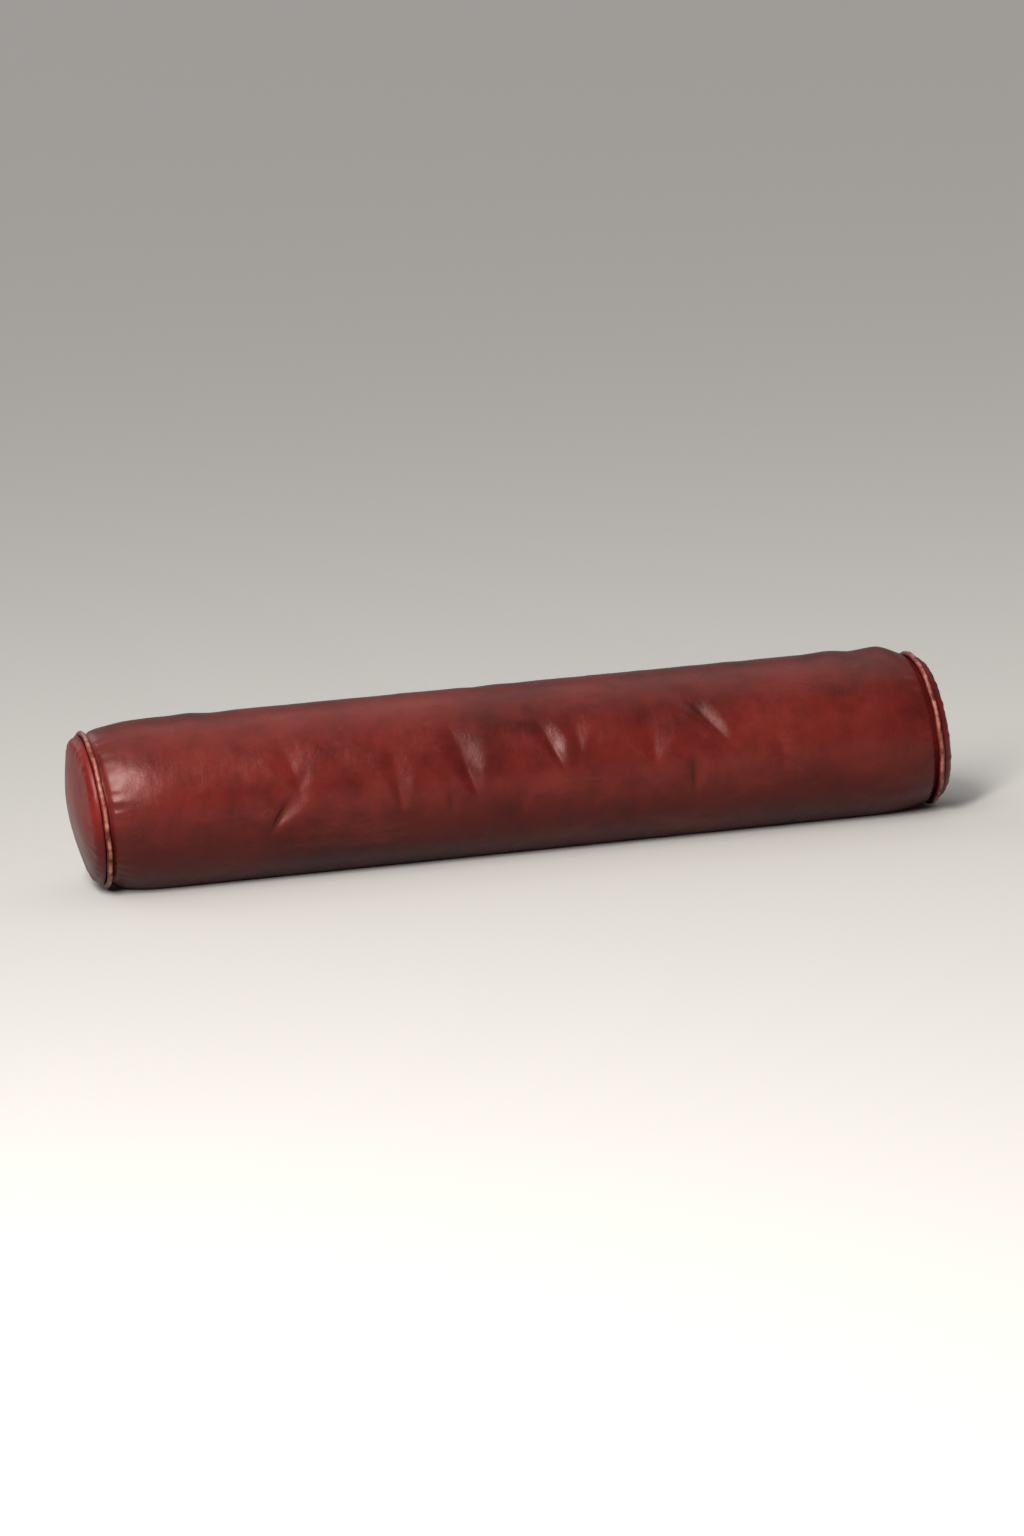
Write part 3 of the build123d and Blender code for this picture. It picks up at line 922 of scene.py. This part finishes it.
def cap_unevenness(x, radius, angle, hand):
    """Small gathers at the seam and soft hollows in the dome, in metres outward along the bolster."""
    share = radius / CAP_RADIUS
    gathers = np.zeros(share.shape)
    for count, size, shift in ((37, 0.30, 20.0), (53, 0.22, 75.0), (23, 0.22, 140.0)):
        gathers += size * MM * np.sin(np.radians(count * angle + shift * hand))
    gathers *= bump(share - 0.93, 0.10)
    hollows = -1.1 * MM * bump(share - 0.55, 0.3) * np.cos(np.radians(2 * angle + 40 * hand))
    hollows += 0.8 * MM * bump(share - 0.7, 0.25) * np.cos(np.radians(3 * angle - 25 * hand))
    return ramp(x, 3 * MM, 9 * MM) * (gathers + hollows)


def make_cap(hand, name):
    """One end cap: hand is 1 for the right and -1 for the left."""
    profile = np.array(cap_profile())
    angles = np.arange(CAP_COLUMNS) * 360.0 / CAP_COLUMNS
    x, angle = np.meshgrid(profile[:, 0], angles, indexing="ij")
    radius = np.repeat(profile[:, 1:], CAP_COLUMNS, axis=1)
    grown = x + cap_unevenness(x, radius, angle, hand)
    outer = leaning_ring(hand * (CAP_START + grown), radius, angle)
    normals = grid_normals(outer)
    # a row on the dome tells which way the normals point
    middle = len(profile) - 8
    toward = np.sign(normals[middle, 0, 0]) * hand
    normals[-1] = (toward * hand, 0, 0)
    inner = outer - toward * normals * LEATHER
    shell = Shell(outer, inner)
    shell.skin()
    shell.close_row(0, flip=True)
    shell.cap_row(shell.rows - 1, shell.outer, flip=False)
    shell.cap_row(shell.rows - 1, shell.inner, flip=True)
    piece = shell.piece(name, cap_leather)
    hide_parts(name.replace("leather_cap", "end_cap"))


def leaning_ring(x, radius, angle):
    """Points of a round piece at an end seam, leaning as the seam does."""
    out = turn(angle)
    y = radius * out[..., 0]
    z = AXIS_Z + radius * out[..., 1]
    return np.stack([x - LEAN * (z - AXIS_Z), y, z], axis=-1)


# The piping

PIPING_COLUMNS = 360
BEAD_STEPS = 14


def piping_profile():
    """(x, radius) round the bead from one side of its flange to the other, and down the flange."""
    half = 0.9 * MM
    start = math.asin(half / BEAD)
    rows = []
    for step in range(BEAD_STEPS + 1):
        t = math.pi + start + (2 * math.pi - 2 * start) * step / BEAD_STEPS
        rows.append((BEAD * math.sin(t), BEAD * math.cos(t)))
    bottom = CAP_RADIUS - FLANGE - BEAD_RING
    return [(-half, bottom), *rows, (half, bottom)]


def make_piping(hand, name):
    """The leather-covered bead round one end seam, and the flange that it is sewn in by."""
    profile = np.array(piping_profile())
    angles = np.arange(PIPING_COLUMNS) * 360.0 / PIPING_COLUMNS
    ring = []
    for x, rise in profile:
        on_bead = ramp(np.array(rise), -BEAD, 0.0)
        wave = np.sin(np.radians(29 * angles + 50 * hand)) + np.sin(np.radians(47 * angles))
        pinch = np.sin(np.radians(83 * angles + 20 * hand))
        swell = 1 + on_bead * (0.035 * wave + 0.025 * pinch)
        radius = BEAD_RING + rise * swell
        sway = 0.25 * MM * np.sin(np.radians(11 * angles + 70 * hand))
        ring.append(leaning_ring(hand * SEAM_X + x * swell + sway * on_bead, radius, angles))
    rows = np.stack(ring)
    faces = grid_faces(*rows.shape[:2], closed=True)
    piece = piece_from(name, rows.reshape(-1, 3).tolist(), faces, piping_leather)
    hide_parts(name.replace("piping", "piping_cover"))


# What lies inside the ends

def leaning_copy(node, material):
    """A hidden piece inside an end, leaning with the end seam."""
    source = frame["nodes"][node]
    mesh = source.data.copy()
    mesh.transform(source.matrix_world)
    points = np.empty(len(mesh.vertices) * 3, np.float32)
    mesh.vertices.foreach_get("co", points)
    points = points.reshape(-1, 3)
    points[:, 0] = skewed(points[:, 0], points[:, 2] - AXIS_Z)
    mesh.vertices.foreach_set("co", points.reshape(-1))
    mesh.materials.clear()
    mesh.materials.append(material)
    mesh.update()
    piece = bpy.data.objects.new(node + "_soft", mesh)
    bpy.context.scene.collection.objects.link(piece)
    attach(piece, "cover")
    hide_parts(node)


# Stitches beside the zip

def capsule(start, end, radius, sides=8):
    """Points and faces of a round-ended bar that bows a little, as a stitch does."""
    start, end = Vector(start), Vector(end)
    along = (end - start).normalized()
    up = Vector((0, *turn(ZIP_ANGLE)))
    across = along.cross(up).normalized()
    lift = across.cross(along)
    length = (end - start).length
    stations = [(0.0, 0.35), (0.06, 0.8), (0.2, 1.0), (0.5, 1.0), (0.8, 1.0), (0.94, 0.8), (1.0, 0.35)]
    points = []
    for share, size in stations:
        sink = -2.4 * radius * (2 * share - 1) ** 4
        centre = start + along * (share * length) + lift * sink
        for n in range(sides):
            t = 2 * math.pi * n / sides
            points.append(tuple(centre + (across * math.cos(t) + lift * math.sin(t)) * radius * size))
    faces = grid_faces(len(stations), sides)
    last = (len(stations) - 1) * sides
    faces.append(tuple(reversed(range(sides))))
    faces.append(tuple(range(last, last + sides)))
    return points, faces


def make_stitches(side, name):
    """A row of stitches along one edge of the zip mouth. side is 1 above the zip and -1 below it."""
    pitch = 4.0 * MM
    length = 3.3 * MM
    radius = 0.42 * MM
    angle = ZIP_ANGLE + side * math.degrees(math.asin(STITCH_LINE / RADIUS))
    count = int(2 * MOUTH_HALF / pitch)
    points, faces = [], []
    for n in range(count):
        middle = (n - (count - 1) / 2) * pitch
        ends = cover_points([middle - length / 2, middle + length / 2], angle, 0)
        ends[:, 1:] += 0.25 * MM * turn(angle)
        more, quads = capsule(ends[0], ends[1], radius)
        first = len(points)
        points += more
        faces += [tuple(first + v for v in quad) for quad in quads]
    piece = piece_from(name, points, faces, thread)
    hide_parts(name.replace("stitches", "zip_topstitch"))


# Build

make_barrel()
filling_layer("cotton_case", "inner_case_barrel", calico, CASE_DEPTH, CASE_DEPTH + CASE_CLOTH,
              BARREL_END - CASE_DEPTH - 1.5 * CASE_CLOTH)
filling_layer("wadding_wrap_soft", "wadding_wrap", wadding_fibre, WADDING_DEPTH, CORE_DEPTH - 0.3 * MM,
              core_high.x)
for hand, side_name in ((-1, "left"), (1, "right")):
    make_cap(hand, "leather_cap_" + side_name)
    make_piping(hand, "piping_" + side_name)
make_stitches(1, "stitches_upper")
make_stitches(-1, "stitches_lower")

leaning_copy("foam_core", foam_cells)
for side_name in ("left", "right"):
    leaning_copy("end_filler_" + side_name, wadding_fibre)
    leaning_copy("wadding_disc_" + side_name, wadding_fibre)
    leaning_copy("inner_case_end_" + side_name, calico)
    leaning_copy("piping_cord_" + side_name, cord_cotton)
    leaning_copy("end_seam_thread_" + side_name, thread)

SLOT_MATERIALS = {
    "body_leather": body_leather,
    "cap_leather": cap_leather,
    "piping_leather": piping_leather,
    "cotton_cord": cord_cotton,
    "thread": thread,
    "zip_tape": tape_cloth,
    "zip_brass": brass,
    "calico": calico,
    "wadding": wadding_fibre,
    "foam": foam_cells,
}
for part in frame["record"]["subparts"]:
    node = frame["nodes"][part["node"]]
    for slot in node.material_slots:
        slot.material = SLOT_MATERIALS[part["material_slot"]]


# Floor, lights and camera

def make_floor():
    """A large pale floor."""
    size = 30.0
    points = [(-size, -size, 0), (size, -size, 0), (size, size, 0), (-size, size, 0)]
    mesh = bpy.data.meshes.new("floor")
    mesh.from_pydata(points, [], [(0, 1, 2, 3)])
    mesh.materials.append(new_material("pale_floor", (0.50, 0.485, 0.465), 0.8)[0])
    floor = bpy.data.objects.new("floor", mesh)
    bpy.context.scene.collection.objects.link(floor)


def make_light(name, azimuth, elevation, strength, spread, colour):
    """A distant soft light: spread is how wide it looks from the bolster, in degrees."""
    lamp = bpy.data.lights.new(name, "SUN")
    lamp.energy = strength
    lamp.angle = math.radians(spread)
    lamp.color = colour
    hang(lamp, azimuth, elevation, 4)


def make_window(name, azimuth, elevation, distance, width, height, watts, colour):
    """A tall soft light that faces the bolster."""
    lamp = bpy.data.lights.new(name, "AREA")
    lamp.shape = "RECTANGLE"
    lamp.size, lamp.size_y = width, height
    lamp.energy = watts
    lamp.color = colour
    hang(lamp, azimuth, elevation, distance)


def hang(lamp, azimuth, elevation, distance):
    """Puts a lamp in the scene, facing the bolster."""
    light = bpy.data.objects.new(lamp.name, lamp)
    back = direction(azimuth, elevation)
    light.location = Vector((0, 0, AXIS_Z)) + back * distance
    light.rotation_euler = (-back).to_track_quat("-Z", "Y").to_euler()
    bpy.context.scene.collection.objects.link(light)


def direction(azimuth, elevation):
    """Out from the bolster: azimuth 0 is its front and 90 its right end."""
    a, e = math.radians(azimuth), math.radians(elevation)
    return Vector((math.sin(a) * math.cos(e), -math.cos(a) * math.cos(e), math.sin(e)))


def make_camera():
    """The photograph's view: from the left of the front and a little above."""
    azimuth, elevation, roll = -13.0, 10.0, -3.4
    distance = 5.2
    data = bpy.data.cameras.new("camera")
    data.lens = 138.0
    data.sensor_width = 36.0
    camera = bpy.data.objects.new("camera", data)
    back = direction(azimuth, elevation)
    camera.location = Vector((0, 0, AXIS_Z)) + back * distance
    facing = (-back).to_track_quat("-Z", "Y").to_matrix()
    camera.rotation_euler = (facing @ Matrix.Rotation(math.radians(roll), 3, "Z")).to_euler()
    bpy.context.scene.collection.objects.link(camera)
    bpy.context.scene.camera = camera


make_floor()
make_window("window", -31, 38, 3.6, 0.5, 2.4, 172, (1.0, 0.97, 0.94))
make_light("sky", -60, 62, 0.85, 35, (1.0, 0.98, 0.95))
make_light("room", 212, 30, 0.55, 45, (0.96, 0.97, 1.0))
make_light("ceiling", 150, 70, 0.5, 60, (1.0, 0.98, 0.96))
world = bpy.data.worlds.new("pale_room")
world.use_nodes = True
background = world.node_tree.nodes["Background"]
background.inputs["Color"].default_value = (0.86, 0.85, 0.83, 1)
background.inputs["Strength"].default_value = 0.22
bpy.context.scene.world = world
bpy.context.scene.view_settings.view_transform = "Standard"
make_camera()
